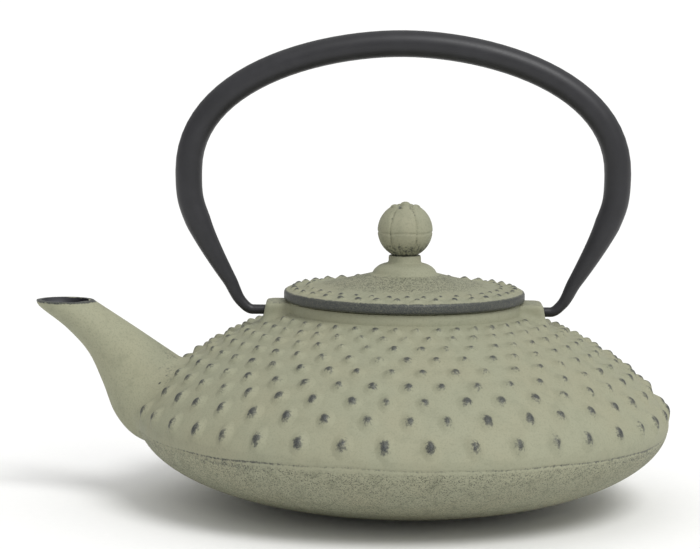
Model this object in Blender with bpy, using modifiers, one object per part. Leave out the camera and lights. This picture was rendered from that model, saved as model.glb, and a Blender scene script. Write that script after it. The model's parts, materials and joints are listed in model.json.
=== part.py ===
"""Flat cast-iron teapot with a bail handle, a lift-off lid and a lift-out infuser basket.

Units are metres, +Z is up. The origin is the centre of the flat foot that the pot stands on.
The spout points along -X, and the handle swings about an X axis through the two lugs.
"""
import math

import bmesh
import bpy
from mathutils import Vector

MM = 0.001

# Space left between two pieces that touch on the real pot.
GAP = 0.3 * MM

# Body: a shallow bowl under a pointed shoulder, drawn as an elliptic arc and a superellipse.
BELLY_R = 104.2 * MM
BELLY_Z = 34.0 * MM
BOWL_CENTRE_R = 16.0 * MM
SHOULDER_RISE = 52.5 * MM
SHOULDER_POWER = 1.5
WALL = 3.2 * MM
WALL_UNDER_NECK = 3.7 * MM
FOOT_R = 38.0 * MM

# Neck, with the recess that the basket's flange hangs in.
NECK_R = 45.5 * MM
NECK_TOP = 79.7 * MM
NECK_ROUNDING = 0.7 * MM
RECESS_R = 42.0 * MM
LEDGE_Z = 76.5 * MM
MOUTH_R = 38.5 * MM

# Lugs that carry the handle.
LUG_FACE = 55.4 * MM
LUG_ROOT = 40.0 * MM
LUG_LEAN = 1.6 * MM
LUG_ROUNDING = 1.8 * MM
LUG_HALF_WIDTH = 9.0 * MM
LUG_TOP = 79.5 * MM
LUG_FOOT = 62.0 * MM
HINGE_Z = 75.8 * MM
HINGE_HOLE_R = 2.15 * MM
HINGE_HOLE_END = 45.6 * MM
DRILL_LENGTH = 14.0 * MM

# Handle: a thick rod that tapers to thin inward hooks.
ROD_R = 5.25 * MM
HOOK_R = 1.85 * MM
HANDLE_HALF_WIDTH = 83.4 * MM
HANDLE_SIDE_Z = 130.1 * MM
HANDLE_APEX_Z = 179.9 * MM
HOOK_END = 47.3 * MM
HANDLE_SHIFT = -1.0 * MM

# Lid.
LID_R = 47.0 * MM
LID_BOTTOM = 80.0 * MM
LID_EDGE_TOP = 84.0 * MM
LID_EDGE_ROUNDING = 1.0 * MM
LID_RISE = 6.6 * MM
LID_HOLLOWING = 1.4
LID_THICKNESS = 3.4 * MM
DOME_R = 12.7 * MM
DOME_POINTS = [(6.8 * MM, 94.9 * MM), (9.4 * MM, 94.1 * MM), (11.6 * MM, 92.7 * MM), (12.4 * MM, 91.3 * MM)]
COLLAR_R = 6.3 * MM
COLLAR_TOP = 97.7 * MM
COLLAR_ROUNDING = 0.5 * MM
SKIRT_R = 35.4 * MM
SKIRT_INNER_R = 32.4 * MM
SKIRT_BOTTOM = 73.2 * MM
BOSS_R = 9.0 * MM
BOSS_ROOT_R = 14.0 * MM
BOSS_Z = 86.3 * MM
SCREW_HOLE_R = 2.5 * MM

# Knob, its screw and washer.
BALL_R = 10.75 * MM
BALL_Z = 107.4 * MM
FLOWER_R = 6.0 * MM
FLOWER_TOP = 117.5 * MM
FLOWER_ROUNDING = 0.6 * MM
BUD_R = 2.1 * MM
BUD_TOP = 118.6 * MM
KNOB_HOLE_END = 108.4 * MM
SCREW_TIP = 108.0 * MM
SCREW_R = 2.0 * MM
SCREW_HEAD_R = 4.4 * MM
SCREW_HEAD_H = 2.0 * MM
SLOT_WIDTH = 1.0 * MM
SLOT_DEPTH = 0.8 * MM
WASHER_R = 6.5 * MM
WASHER_HOLE_R = 2.4 * MM
WASHER_H = 0.8 * MM

# Infuser basket, from its flange down to its floor.
FLANGE_R = 41.6 * MM
FLANGE_H = 0.8 * MM
SHEET = 0.5 * MM
BASKET_R = 36.7 * MM
BASKET_BOTTOM = 26.0 * MM
HOOP_H = 8.0 * MM
HOOP_LIP_R = 33.0 * MM

# Facets around the turned and drilled pieces.
BODY_STEPS = 48
LID_STEPS = 40
KNOB_STEPS = 28
BASKET_STEPS = 48
DRILL_STEPS = 20

GREEN_IRON = ("green_iron", (0.36, 0.36, 0.26), 0.62, 0.0)
BLACK_STEEL = ("black_steel", (0.045, 0.045, 0.05), 0.42, 0.3)
BRIGHT_STEEL = ("bright_steel", (0.62, 0.62, 0.62), 0.28, 1.0)


# ---------------------------------------------------------------- scene helpers

def clear_scene():
    for old in list(bpy.data.objects):
        bpy.data.objects.remove(old, do_unlink=True)


def new_collection(name):
    collection = bpy.data.collections.new(name)
    bpy.context.scene.collection.children.link(collection)
    return collection


def material(spec):
    name, colour, roughness, metallic = spec
    found = bpy.data.materials.get(name)
    if found:
        return found
    made = bpy.data.materials.new(name)
    made.use_nodes = True
    shader = made.node_tree.nodes["Principled BSDF"]
    shader.inputs["Base Color"].default_value = (*colour, 1.0)
    shader.inputs["Roughness"].default_value = roughness
    shader.inputs["Metallic"].default_value = metallic
    return made


def add_object(name, data, collection, spec=None, parent=None):
    thing = bpy.data.objects.new(name, data)
    collection.objects.link(thing)
    if spec:
        data.materials.append(material(spec))
    if parent:
        thing.parent = parent
    return thing


def add_empty(name, collection, z, parent=None):
    empty = bpy.data.objects.new(name, None)
    empty.empty_display_size = 10 * MM
    empty.location = (0.0, 0.0, z - (parent.location.z if parent else 0.0))
    collection.objects.link(empty)
    empty.parent = parent
    return empty


def hide_as_tool(thing):
    thing.hide_render = True
    thing.display_type = 'WIRE'


def boolean(target, tool, operation):
    cut = target.modifiers.new(f"{operation.lower()} {tool.name}", 'BOOLEAN')
    cut.operation = operation
    cut.object = tool


# ---------------------------------------------------------------- outline helpers

def arc(centre_r, centre_z, radius_r, radius_z, start, end, count):
    """Points on an elliptic arc between two angles in degrees."""
    points = []
    for i in range(count + 1):
        angle = math.radians(start + (end - start) * i / count)
        r = centre_r + radius_r * math.cos(angle)
        z = centre_z + radius_z * math.sin(angle)
        points.append((r, z))
    return points


def shoulder(top_r, belly_r, rise, count):
    """Points down the shoulder from top_r to just above the belly."""
    power = 2.0 / SHOULDER_POWER
    start = math.acos((top_r / belly_r) ** (1.0 / power))
    points = []
    for i in range(count):
        angle = start * (1.0 - i / count)
        r = belly_r * math.cos(angle) ** power
        z = BELLY_Z + rise * math.sin(angle) ** power
        points.append((r, z))
    return points


def bowl(belly_r, depth, end_r, count):
    """Points down the bowl from the belly in to end_r."""
    radius = belly_r - BOWL_CENTRE_R
    end = -math.degrees(math.acos((end_r - BOWL_CENTRE_R) / radius))
    return arc(BOWL_CENTRE_R, BELLY_Z, radius, depth, 0.0, end, count)


def turned(name, outline, collection, spec, steps, closed=False, base_z=0.0, parent=None):
    """A profile in the XZ plane, spun about Z. It runs down the outer side, top to bottom."""
    count = len(outline)
    edges = [(i, i + 1) for i in range(count - 1)]
    if closed:
        edges.append((count - 1, 0))
    mesh = bpy.data.meshes.new(name)
    mesh.from_pydata([(r, 0.0, z - base_z) for r, z in outline], edges, [])
    thing = add_object(name, mesh, collection, spec, parent)
    spin = thing.modifiers.new("spin", 'SCREW')
    spin.steps = steps
    spin.render_steps = steps
    spin.use_merge_vertices = True
    spin.merge_threshold = 0.00001
    spin.use_smooth_shade = True
    return thing


# ---------------------------------------------------------------- pot body

# The spout in the XZ plane: (top x, top z, under x, under z, half width, wall) at each section.
SPOUT_SECTIONS = [
    (-80.0, 51.5, -92.5, 20.5, 19.0, 3.2),
    (-85.2, 55.0, -104.9, 25.5, 17.0, 3.2),
    (-90.2, 58.4, -112.8, 34.2, 14.0, 3.1),
    (-96.7, 62.7, -117.8, 46.7, 12.0, 2.9),
    (-104.7, 68.0, -123.4, 58.5, 10.8, 2.6),
    (-113.2, 73.5, -132.0, 68.0, 10.2, 2.3),
    (-119.4, 77.5, -142.1, 75.9, 10.0, 2.0),
    (-121.4, 78.8, -143.7, 78.8, 10.0, 1.9),
]
SPOUT_SIDES = 20
SPOUT_STEPS = 3

# How far the tools that cut an opening run on past it.
CUT_CLEARANCE = 5.0 * MM


def between(p0, p1, p2, p3, t):
    """A smooth value between p1 and p2 (Catmull-Rom)."""
    a = 2.0 * p1
    b = p2 - p0
    c = 2.0 * p0 - 5.0 * p1 + 4.0 * p2 - p3
    d = -p0 + 3.0 * p1 - 3.0 * p2 + p3
    return 0.5 * (a + b * t + c * t * t + d * t * t * t)


def smooth_sections(sections, steps):
    padded = [sections[0]] + list(sections) + [sections[-1]]
    smooth = []
    for i in range(len(sections) - 1):
        quad = padded[i:i + 4]
        for k in range(steps):
            smooth.append([between(*values, k / steps) for values in zip(*quad)])
    smooth.append(list(sections[-1]))
    return smooth


def spout_rings(inset):
    """Oval rings along the spout, drawn in by the wall where inset is true."""
    rings = []
    for top_x, top_z, under_x, under_z, half_width, wall in smooth_sections(SPOUT_SECTIONS, SPOUT_STEPS):
        top = Vector((top_x, 0.0, top_z)) * MM
        under = Vector((under_x, 0.0, under_z)) * MM
        middle = (top + under) / 2
        reach = (top - under) / 2
        width = half_width * MM
        if inset:
            shrink = wall * MM
            reach = reach * (1.0 - shrink / reach.length)
            width = width - shrink
        ring = []
        for k in range(SPOUT_SIDES):
            angle = 2.0 * math.pi * k / SPOUT_SIDES
            ring.append(middle + reach * math.cos(angle) + Vector((0.0, width * math.sin(angle), 0.0)))
        rings.append(ring)
    if inset:
        inward = Vector((CUT_CLEARANCE, 0.0, 0.0))
        upward = Vector((0.0, 0.0, CUT_CLEARANCE))
        rings.insert(0, [point + inward for point in rings[0]])
        rings.append([point + upward for point in rings[-1]])
    return rings


def loft(name, rings, collection):
    mesh = bpy.data.meshes.new(name)
    shape = bmesh.new()
    loops = [[shape.verts.new(point) for point in ring] for ring in rings]
    sides = len(loops[0])
    for lower, upper in zip(loops, loops[1:]):
        for k in range(sides):
            after = (k + 1) % sides
            shape.faces.new((lower[k], lower[after], upper[after], upper[k]))
    shape.faces.new(loops[0])
    shape.faces.new(loops[-1])
    bmesh.ops.recalc_face_normals(shape, faces=shape.faces)
    shape.to_mesh(mesh)
    shape.free()
    mesh.shade_smooth()
    thing = add_object(name, mesh, collection)
    hide_as_tool(thing)
    return thing


def lug(name, side, collection):
    """A block that stands on the shoulder and leans out a little towards its foot."""
    mesh = bpy.data.meshes.new(name)
    shape = bmesh.new()
    bmesh.ops.create_cube(shape, size=1.0)
    for vert in shape.verts:
        outside = vert.co.x * side > 0.0
        above = vert.co.z > 0.0
        lean = -LUG_LEAN if above else LUG_LEAN
        reach = LUG_FACE + lean if outside else LUG_ROOT
        half = LUG_HALF_WIDTH if above else LUG_HALF_WIDTH + LUG_LEAN
        vert.co.x = side * reach
        vert.co.y = math.copysign(half, vert.co.y)
        vert.co.z = LUG_TOP if above else LUG_FOOT
    bmesh.ops.recalc_face_normals(shape, faces=shape.faces)
    shape.to_mesh(mesh)
    shape.free()
    thing = add_object(name, mesh, collection)
    rounding = thing.modifiers.new("rounding", 'BEVEL')
    rounding.width = LUG_ROUNDING
    rounding.segments = 2
    hide_as_tool(thing)
    return thing


def lug_drill(name, side, collection):
    mesh = bpy.data.meshes.new(name)
    shape = bmesh.new()
    bmesh.ops.create_cone(shape, cap_ends=True, segments=DRILL_STEPS, radius1=HINGE_HOLE_R,
                          radius2=HINGE_HOLE_R, depth=DRILL_LENGTH)
    shape.to_mesh(mesh)
    shape.free()
    thing = add_object(name, mesh, collection)
    thing.rotation_euler = (0.0, math.radians(90.0), 0.0)
    thing.location = (side * (HINGE_HOLE_END + DRILL_LENGTH / 2), 0.0, HINGE_Z)
    hide_as_tool(thing)
    return thing


def make_pot_body(collection, tools):
    """One casting: bowl, shoulder, neck, spout and lugs, hollowed with an even wall."""
    outline = [(0.0, NECK_TOP), (NECK_R - NECK_ROUNDING, NECK_TOP), (NECK_R, NECK_TOP - NECK_ROUNDING)]
    outline += shoulder(NECK_R, BELLY_R, SHOULDER_RISE, 12)
    outline += bowl(BELLY_R, BELLY_Z, FOOT_R, 10)
    outline += [(FOOT_R, 0.0), (0.0, 0.0)]
    body = turned("pot_body", outline, collection, GREEN_IRON, BODY_STEPS)

    inner_belly = BELLY_R - WALL
    inner_rise = SHOULDER_RISE - WALL_UNDER_NECK
    above = NECK_TOP + CUT_CLEARANCE
    hollow = [(0.0, above), (RECESS_R, above), (RECESS_R, LEDGE_Z), (MOUTH_R, LEDGE_Z)]
    hollow += shoulder(MOUTH_R, inner_belly, inner_rise, 9)
    hollow += bowl(inner_belly, BELLY_Z - WALL, BOWL_CENTRE_R, 8)
    hollow.append((0.0, WALL))
    cavity = turned("cavity", hollow, tools, None, BODY_STEPS)
    hide_as_tool(cavity)

    boolean(body, loft("spout_outside", spout_rings(False), tools), 'UNION')
    for side, word in ((-1, "spout_side"), (1, "far_side")):
        boolean(body, lug(f"lug_{word}", side, tools), 'UNION')
    boolean(body, cavity, 'DIFFERENCE')
    boolean(body, loft("spout_channel", spout_rings(True), tools), 'DIFFERENCE')
    for side, word in ((-1, "spout_side"), (1, "far_side")):
        boolean(body, lug_drill(f"drill_{word}", side, tools), 'DIFFERENCE')
    return body


# ---------------------------------------------------------------- handle

# Half of the handle, apex first: (x, z, rod radius, heading in degrees, reach in, reach out).
# A heading of 0 runs along +X and 90 runs straight down.
HANDLE_POINTS = [
    (0.0, HANDLE_APEX_Z, ROD_R, 0.0, 33.5 * MM, 33.5 * MM),
    (HANDLE_HALF_WIDTH, HANDLE_SIDE_Z, ROD_R, 90.0, 35.8 * MM, 10.4 * MM),
    (79.7 * MM, 110.3 * MM, 5.0 * MM, 112.2, 8.0 * MM, 7.0 * MM),
    (67.6 * MM, 87.8 * MM, 2.8 * MM, 121.5, 8.0 * MM, 4.0 * MM),
    (62.3 * MM, 78.5 * MM, 2.1 * MM, 134.0, 3.5 * MM, 1.8 * MM),
    (58.0 * MM, HINGE_Z, 1.9 * MM, 180.0, 1.8 * MM, 3.0 * MM),
    (HOOK_END, HINGE_Z, HOOK_R, 180.0, 3.0 * MM, 3.0 * MM),
]


def make_handle(collection):
    """One rod, bent into a bail that sits a little off centre in its lugs, its origin on the hinge line."""
    curve = bpy.data.curves.new("handle", 'CURVE')
    curve.dimensions = '3D'
    curve.resolution_u = 7
    curve.bevel_depth = 1.0
    curve.bevel_resolution = 2
    curve.use_fill_caps = True
    left = [(-x, z, radius, -heading, reach_out, reach_in)
            for x, z, radius, heading, reach_in, reach_out in HANDLE_POINTS[:0:-1]]
    rows = left + HANDLE_POINTS
    spline = curve.splines.new('BEZIER')
    spline.bezier_points.add(len(rows) - 1)
    for point, (x, z, radius, heading, before, after) in zip(spline.bezier_points, rows):
        place = Vector((x, 0.0, z - HINGE_Z))
        ahead = Vector((math.cos(math.radians(heading)), 0.0, -math.sin(math.radians(heading))))
        point.handle_left_type = 'FREE'
        point.handle_right_type = 'FREE'
        point.co = place
        point.handle_left = place - ahead * before
        point.handle_right = place + ahead * after
        point.radius = radius
    handle = add_object("handle", curve, collection, BLACK_STEEL)
    handle.location = (HANDLE_SHIFT, 0.0, HINGE_Z)
    return handle


# ---------------------------------------------------------------- lid and knob

def lid_top_z(r):
    share = (LID_R - r) / (LID_R - DOME_R)
    return LID_EDGE_TOP + LID_RISE * share ** LID_HOLLOWING


def steps_between(start, end, count):
    return [start + (end - start) * i / count for i in range(count + 1)]


def make_lid(collection, parent):
    """A turned casting: collar, dome, hollow-curved top, thick edge and locating skirt."""
    collar_edge = [(COLLAR_R - COLLAR_ROUNDING, COLLAR_TOP), (COLLAR_R, COLLAR_TOP - COLLAR_ROUNDING)]
    rim_r = LID_R - LID_EDGE_ROUNDING
    outline = [(SCREW_HOLE_R, COLLAR_TOP)] + collar_edge + DOME_POINTS
    outline += [(r, lid_top_z(r)) for r in steps_between(DOME_R, rim_r, 7)]
    outline += [(LID_R, LID_EDGE_TOP - LID_EDGE_ROUNDING), (LID_R, LID_BOTTOM + LID_EDGE_ROUNDING)]
    outline += [(rim_r, LID_BOTTOM), (SKIRT_R, LID_BOTTOM)]
    outline += [(SKIRT_R, SKIRT_BOTTOM), (SKIRT_INNER_R, SKIRT_BOTTOM)]
    outline += [(r, lid_top_z(r) - LID_THICKNESS) for r in steps_between(SKIRT_INNER_R, BOSS_ROOT_R, 3)]
    outline += [(BOSS_R, BOSS_Z), (SCREW_HOLE_R, BOSS_Z)]
    return turned("lid", outline, collection, GREEN_IRON, LID_STEPS, True, NECK_TOP, parent)


def make_knob(collection, parent):
    """A cast ball with a low flower boss on top and a blind hole for its screw."""
    seat = COLLAR_TOP + GAP
    seat_angle = math.degrees(math.asin((seat - BALL_Z) / BALL_R))
    flower_angle = math.degrees(math.acos(FLOWER_R / BALL_R))
    bud_shoulder = 0.7 * BUD_TOP + 0.3 * FLOWER_TOP
    outline = [(0.0, BUD_TOP), (0.7 * BUD_R, bud_shoulder), (BUD_R, FLOWER_TOP)]
    outline += [(FLOWER_R - FLOWER_ROUNDING, FLOWER_TOP), (FLOWER_R, FLOWER_TOP - FLOWER_ROUNDING)]
    outline += arc(0.0, BALL_Z, BALL_R, BALL_R, flower_angle, seat_angle, 12)
    hole_r = SCREW_R + GAP
    outline += [(hole_r, seat), (hole_r, KNOB_HOLE_END), (0.0, KNOB_HOLE_END)]
    return turned("knob", outline, collection, GREEN_IRON, KNOB_STEPS, False, NECK_TOP, parent)


def make_knob_screw(collection, tools, parent):
    """A round-headed screw that comes up through the lid into the ball."""
    head_top = BOSS_Z - WASHER_H - 2 * GAP
    head_bottom = head_top - SCREW_HEAD_H
    head_side = head_top - 0.3 * SCREW_HEAD_H
    head_shoulder = head_bottom + 0.2 * SCREW_HEAD_H
    outline = [(0.0, SCREW_TIP), (SCREW_R, SCREW_TIP), (SCREW_R, head_top), (SCREW_HEAD_R, head_top)]
    outline += [(SCREW_HEAD_R, head_side), (0.75 * SCREW_HEAD_R, head_shoulder)]
    outline += [(0.4 * SCREW_HEAD_R, head_bottom), (0.0, head_bottom)]
    screw = turned("knob_screw", outline, collection, BRIGHT_STEEL, KNOB_STEPS, False, NECK_TOP, parent)

    mesh = bpy.data.meshes.new("screw_slot")
    shape = bmesh.new()
    bmesh.ops.create_cube(shape, size=1.0)
    size = Vector((4 * SCREW_HEAD_R, SLOT_WIDTH, 2 * SLOT_DEPTH))
    bmesh.ops.scale(shape, vec=size, verts=shape.verts)
    shape.to_mesh(mesh)
    shape.free()
    slot = add_object("screw_slot", mesh, tools)
    slot.location = (0.0, 0.0, head_bottom)
    hide_as_tool(slot)
    boolean(screw, slot, 'DIFFERENCE')
    return screw


def make_knob_washer(collection, parent):
    top = BOSS_Z - GAP
    bottom = top - WASHER_H
    outline = [(WASHER_HOLE_R, top), (WASHER_R, top), (WASHER_R, bottom), (WASHER_HOLE_R, bottom)]
    return turned("knob_washer", outline, collection, BRIGHT_STEEL, KNOB_STEPS, True, NECK_TOP, parent)


# ---------------------------------------------------------------- infuser basket

def make_infuser(collection, parent):
    """Flange ring, perforated wall, bottom hoop and perforated floor, nested with small gaps."""
    flange_bottom = LEDGE_Z + GAP
    flange_top = flange_bottom + FLANGE_H
    wall_top = flange_bottom - GAP
    wall_inner = BASKET_R - SHEET
    hoop_inner = BASKET_R + GAP
    hoop_outer = hoop_inner + SHEET
    hoop_top = BASKET_BOTTOM + HOOP_H
    lip_top = BASKET_BOTTOM + SHEET
    floor_bottom = lip_top + GAP
    floor_top = floor_bottom + SHEET

    rim = [(wall_inner, flange_top), (FLANGE_R, flange_top), (FLANGE_R, flange_bottom),
           (hoop_outer, flange_bottom), (hoop_outer, flange_bottom - HOOP_H),
           (hoop_inner, flange_bottom - HOOP_H), (hoop_inner, flange_bottom),
           (wall_inner, flange_bottom)]
    wall = [(wall_inner, wall_top), (BASKET_R, wall_top),
            (BASKET_R, floor_top + GAP), (wall_inner, floor_top + GAP)]
    hoop = [(hoop_inner, hoop_top), (hoop_outer, hoop_top), (hoop_outer, BASKET_BOTTOM),
            (HOOP_LIP_R, BASKET_BOTTOM), (HOOP_LIP_R, lip_top), (hoop_inner, lip_top)]
    floor = [(0.0, floor_top), (BASKET_R, floor_top), (BASKET_R, floor_bottom), (0.0, floor_bottom)]

    for name, outline, closed in (("infuser_rim", rim, True), ("infuser_wall", wall, True),
                                  ("infuser_hoop", hoop, True), ("infuser_floor", floor, False)):
        turned(name, outline, collection, BRIGHT_STEEL, BASKET_STEPS, closed, LEDGE_Z, parent)


def main():
    clear_scene()
    teapot = new_collection("teapot_infuser")
    tools = new_collection("cutters")
    make_pot_body(teapot, tools)
    make_handle(teapot)
    basket_lift = add_empty("infuser_lift_axis", teapot, LEDGE_Z)
    lid_lift = add_empty("lid_lift_axis", teapot, NECK_TOP, basket_lift)
    make_infuser(teapot, basket_lift)
    make_lid(teapot, lid_lift)
    make_knob(teapot, lid_lift)
    make_knob_screw(teapot, tools, lid_lift)
    make_knob_washer(teapot, lid_lift)


main()
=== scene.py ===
# %% [markdown]
# # A flat cast-iron teapot with an infuser
# The real pot is sand-cast iron: one casting for the bowl, shoulder, spout and lugs, another for
# the lid and a third for the ball knob. It is enamelled sage green outside and black inside, and
# the green is rubbed through to dark iron on everything that stands proud.
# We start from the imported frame, so that every piece can be placed from its boxes.

# %% Load the frame
import json
import math

import bmesh
import bpy
import numpy as np
from mathutils import Matrix, Vector
from mathutils.bvhtree import BVHTree


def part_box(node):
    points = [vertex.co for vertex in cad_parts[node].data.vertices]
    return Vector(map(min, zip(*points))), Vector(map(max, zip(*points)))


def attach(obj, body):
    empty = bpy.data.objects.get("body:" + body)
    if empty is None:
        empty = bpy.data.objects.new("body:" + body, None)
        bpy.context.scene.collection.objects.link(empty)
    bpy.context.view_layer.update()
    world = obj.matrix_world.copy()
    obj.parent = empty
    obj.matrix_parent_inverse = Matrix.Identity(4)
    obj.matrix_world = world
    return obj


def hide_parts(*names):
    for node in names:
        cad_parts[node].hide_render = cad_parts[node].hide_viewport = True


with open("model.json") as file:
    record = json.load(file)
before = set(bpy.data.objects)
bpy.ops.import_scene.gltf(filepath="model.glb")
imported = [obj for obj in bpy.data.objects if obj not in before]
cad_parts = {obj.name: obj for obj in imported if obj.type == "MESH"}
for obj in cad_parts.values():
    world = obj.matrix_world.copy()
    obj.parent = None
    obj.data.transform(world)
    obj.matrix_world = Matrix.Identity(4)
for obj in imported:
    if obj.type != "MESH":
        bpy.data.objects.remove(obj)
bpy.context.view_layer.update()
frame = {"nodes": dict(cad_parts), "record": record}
MM = 0.001
pot_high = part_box("pot_body")[1]
lid_low, lid_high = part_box("lid")
knob_low, knob_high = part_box("knob")

# %% [markdown]
# ## The camera
# A long lens a little over a metre away, just above the height of the lid, looks along +Y. It is
# rolled by about half a degree, as a camera often is.

# %% Camera
CAMERA_DISTANCE = 1.1
CAMERA_ELEVATION = math.radians(6.39)
CAMERA_ROLL = math.radians(0.6)
CAMERA_TARGET = Vector((-21.3, 0.0, 89.8)) * MM
FOCAL_LENGTH_MM = 144.9
SENSOR_WIDTH_MM = 36.0


def add_object(name, data):
    """An object that shows this data, put into the scene."""
    made = bpy.data.objects.new(name, data)
    bpy.context.scene.collection.objects.link(made)
    return made


lens = bpy.data.cameras.new("camera")
lens.lens = FOCAL_LENGTH_MM
lens.sensor_width = SENSOR_WIDTH_MM
camera = add_object("camera", lens)
back = Vector((0.0, -math.cos(CAMERA_ELEVATION), math.sin(CAMERA_ELEVATION)))
right = Vector((1.0, 0.0, 0.0))
axes = Matrix((right, back.cross(right), back)).transposed().to_4x4()
stand = Matrix.Translation(CAMERA_TARGET + back * CAMERA_DISTANCE)
camera.matrix_world = stand @ axes @ Matrix.Rotation(CAMERA_ROLL, 4, "Z")
bpy.context.scene.camera = camera
print("camera at", [round(v, 3) for v in camera.matrix_world.translation])

# %% [markdown]
# ## Sums on sockets
# A material or a geometry tree is a web of small sums. Written node by node it is hard to read,
# so one class wraps a socket and lets Python's own operators add the Math nodes.

# %% A socket that can be used in sums
class Wire:
    """One output socket. Adding, multiplying and so on puts a Math node behind it."""

    def __init__(self, graph, socket):
        self.graph = graph
        self.socket = socket

    def maths(self, operation, *values):
        return self.graph.node("ShaderNodeMath", {"operation": operation}, dict(enumerate(values)))

    def __add__(self, other):
        return self.maths("ADD", self, other)

    def __radd__(self, other):
        return self.maths("ADD", other, self)

    def __sub__(self, other):
        return self.maths("SUBTRACT", self, other)

    def __rsub__(self, other):
        return self.maths("SUBTRACT", other, self)

    def __mul__(self, other):
        return self.maths("MULTIPLY", self, other)

    def __rmul__(self, other):
        return self.maths("MULTIPLY", other, self)

    def __truediv__(self, other):
        return self.maths("DIVIDE", self, other)

    def __lt__(self, other):
        return self.maths("LESS_THAN", self, other)

    def __gt__(self, other):
        return self.maths("GREATER_THAN", self, other)


# %% A node tree that is built by calls
class Graph:
    """Adds nodes to a tree. Settings come first, then the values or wires of the sockets."""

    def __init__(self, tree):
        self.tree = tree

    def node(self, kind, settings=None, sockets=None, output=0):
        made = self.tree.nodes.new(kind)
        for name, value in (settings or {}).items():
            setattr(made, name, value)
        for key, value in (sockets or {}).items():
            if isinstance(value, Wire):
                self.tree.links.new(value.socket, made.inputs[key])
            else:
                made.inputs[key].default_value = value
        return Wire(self, made.outputs[output]) if made.outputs else made

    def smooth(self, value, low, high):
        """0 below low, 1 above high and a soft step between."""
        return self.node("ShaderNodeMapRange", {"interpolation_type": "SMOOTHSTEP"},
                         {"Value": value, "From Min": low, "From Max": high}, "Result")

    def noise(self, where, size, detail=2.0, roughness=0.5):
        """Noise from 0 to 1 whose blobs are about as wide as size, in metres."""
        return self.node("ShaderNodeTexNoise", {}, {
            "Vector": where, "Scale": 1.0 / size, "Detail": detail, "Roughness": roughness}, "Fac")

    def cells(self, where, size):
        """The distance to the nearest of many scattered points that lie about size apart."""
        return self.node("ShaderNodeTexVoronoi", {}, {
            "Vector": where, "Scale": 1.0 / size}, "Distance")

    def mix(self, share, first, second):
        """A colour between two colours."""
        return self.node("ShaderNodeMix", {"data_type": "RGBA"}, {0: share, 6: first, 7: second}, 2)

    def bump(self, height, strength, distance):
        return self.node("ShaderNodeBump", {}, {
            "Strength": strength, "Distance": distance, "Height": height})

    def surface(self, sockets):
        """A material's one shader and its output."""
        shader = self.node("ShaderNodeBsdfPrincipled", {}, sockets)
        self.node("ShaderNodeOutputMaterial", {}, {"Surface": shader})


def new_finish(name):
    """An empty material, the graph that fills it and the piece's own coordinates."""
    made = bpy.data.materials.new(name)
    made.use_nodes = True
    made.node_tree.nodes.clear()
    graph = Graph(made.node_tree)
    return made, graph, graph.node("ShaderNodeTexCoord", output="Object")


def srgb(*levels):
    """A colour given in levels from 0 to 255, as the linear colour that a shader takes."""
    shares = [level / 255 for level in levels]
    return (*[s / 12.92 if s <= 0.04045 else ((s + 0.055) / 1.055) ** 2.4 for s in shares], 1.0)


print("a mid grey is", [round(v, 3) for v in srgb(128, 128, 128)])

# %% [markdown]
# ## Worn sage enamel
# The finish is a matt sage enamel over dark iron. Four things make it look real: slow clouding of
# the green, a fine sandy grain from the mould, pits where the casting is coarse, and rubbed places
# where the dark iron shows. The meshes say where the last two are, with two attributes, one for the
# grain and one for the rubbed places, that are painted when each piece is made. The shader only
# breaks their edges up. The same dark iron colour is also used as painted shade on the neck under
# the lid's rim and on the lower half of the knob, and the top of the lid's edge is kept lighter as
# a painted highlight. A third attribute, pale, says where the green is lighter: painted light on
# the outer spout, and a paler band on the bowl just under the seam.

# %% The enamel recipe
GREEN = srgb(146, 147, 125)
GREEN_WARM = srgb(148, 147, 124)
# A lighter green: painted light on the outer spout, and a paler band on the bowl.
GREEN_PALE_AND_LIT = srgb(166, 166, 140)
GREEN_DEEP = srgb(120, 122, 102)
# Dark iron: the colour of rubbed wear, and also of painted shade where a mesh asks for it.
IRON_AND_SHADE = srgb(52, 55, 59)
PIT = srgb(66, 67, 58)


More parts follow.
